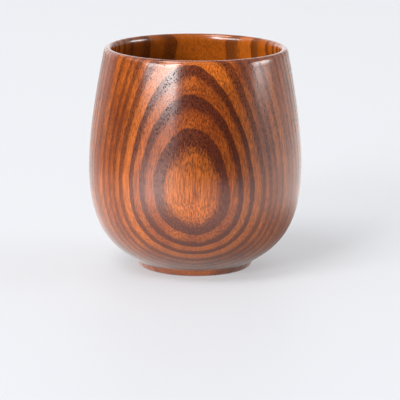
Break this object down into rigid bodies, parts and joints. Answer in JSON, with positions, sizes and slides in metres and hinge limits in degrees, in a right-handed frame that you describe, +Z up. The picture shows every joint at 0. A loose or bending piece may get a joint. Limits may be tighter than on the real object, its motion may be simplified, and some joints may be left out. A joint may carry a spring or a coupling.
{
  "type": "wooden cup",
  "caption": "Handleless egg-shaped drinking cup turned from solid ring-porous hardwood, with a thin rounded lip, a low foot ring and a clear lacquer seal.",
  "frame": {"origin": "centre of the face that the cup stands on", "axes": "+Z up along the turning axis towards the mouth; the cup is round, so X and Y are alike"},
  "size_m": [0.0802, 0.0802, 0.0831],
  "materials": {
    "wood": "turned and sanded, red-brown with dark growth rings and open pores",
    "satin_lacquer": "clear satin lacquer",
    "gloss_lacquer": "clear gloss lacquer with an amber tint"
  },
  "bodies": {
    "root": {"cup_body": "wood", "outer_lacquer_coat": "satin_lacquer", "inner_lacquer_coat": "gloss_lacquer", "base_lacquer_coat": "satin_lacquer"}
  },
  "joints": []
}
